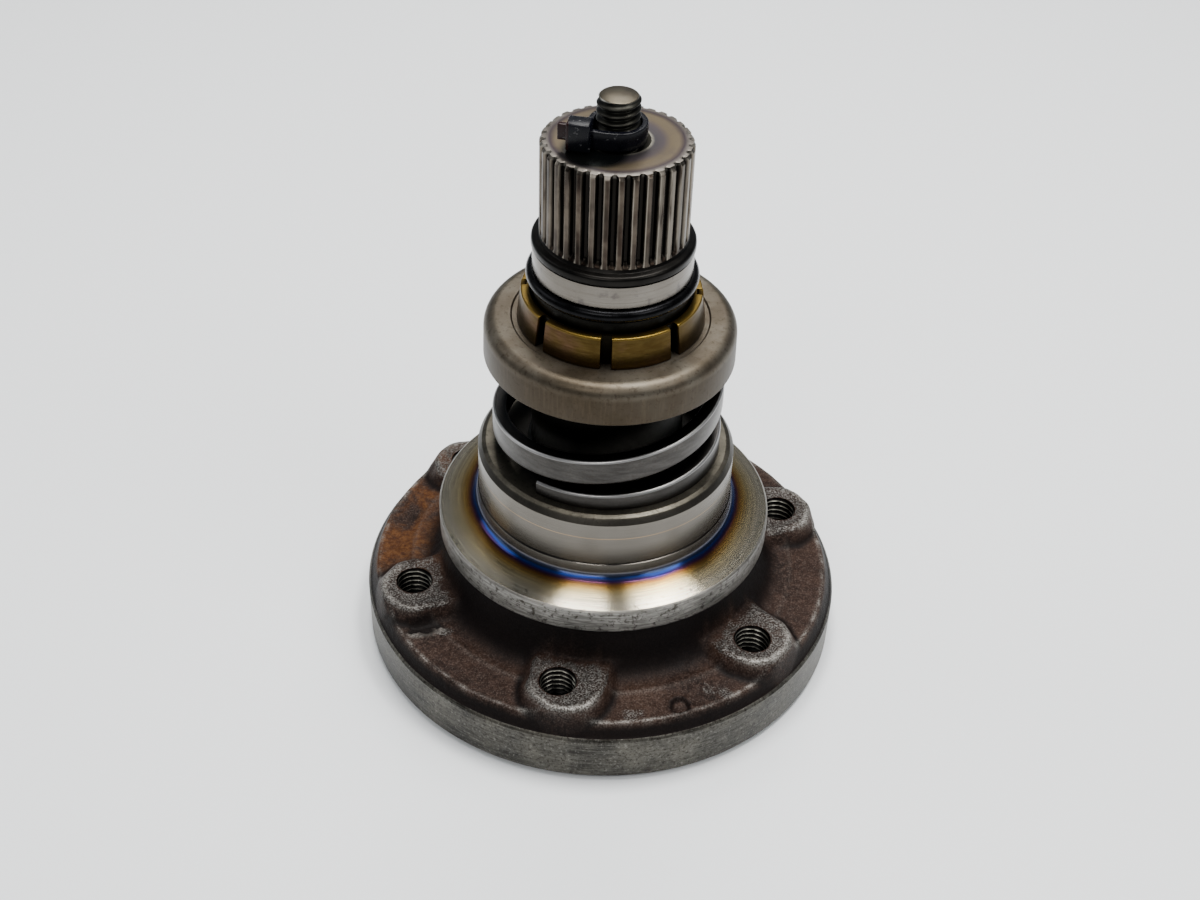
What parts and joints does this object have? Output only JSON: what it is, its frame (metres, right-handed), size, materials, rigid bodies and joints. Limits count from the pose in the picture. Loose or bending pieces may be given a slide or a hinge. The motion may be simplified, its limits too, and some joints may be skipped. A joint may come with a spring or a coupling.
{
  "type": "gearbox output drive flange",
  "caption": "Flanged stub shaft with external splines, spring-loaded thrust washer, slotted tapered ring, circlip and central securing bolt held by a cable tie.",
  "frame": {"origin": "centre of the flange's joint face, on the shaft axis", "axes": "+Z along the shaft axis towards the splined end; the short end of the cable tie points to -X"},
  "size_m": [0.1, 0.1, 0.123],
  "materials": {
    "forged_steel": "brown forging skin with turned and ground seats",
    "spring_steel": "satin grey",
    "pressed_steel": "worn satin",
    "yellow_chromate": "yellow passivated, turned",
    "black_steel": "blackened, oily",
    "bolt_steel": "dark olive phosphate",
    "black_nylon": "moulded black nylon, slightly glossy"
  },
  "bodies": {
    "flange": {"flange_shaft": "forged_steel", "compression_spring": "spring_steel"},
    "washer": {"thrust_washer": "pressed_steel"},
    "cone": {"tapered_ring": "yellow_chromate"},
    "clip": {"circlip": "black_steel"},
    "tie": {"cable_tie": "black_nylon"},
    "bolt": {"securing_bolt": "bolt_steel"}
  },
  "joints": [
    {"name": "washer_slide", "type": "slide", "parent": "flange", "child": "washer", "axis": [0, 0, 1], "range_m": [-0.01, 0.0018], "stiffness_N_per_m": 20000, "deforming": ["compression_spring"]},
    {"name": "cone_turn", "type": "hinge", "parent": "washer", "child": "cone", "pos_m": [0, 0, 0.08], "axis": [0, 0, 1], "continuous": true},
    {"name": "circlip_turn", "type": "hinge", "parent": "flange", "child": "clip", "pos_m": [0, 0, 0.0868], "axis": [0, 0, 1], "continuous": true},
    {"name": "bolt_lift", "type": "slide", "parent": "flange", "child": "tie", "axis": [0, 0, 1], "range_m": [0, 0.0035]},
    {"name": "bolt_turn", "type": "hinge", "parent": "tie", "child": "bolt", "pos_m": [0, 0, 0.118], "axis": [0, 0, 1], "continuous": true}
  ]
}
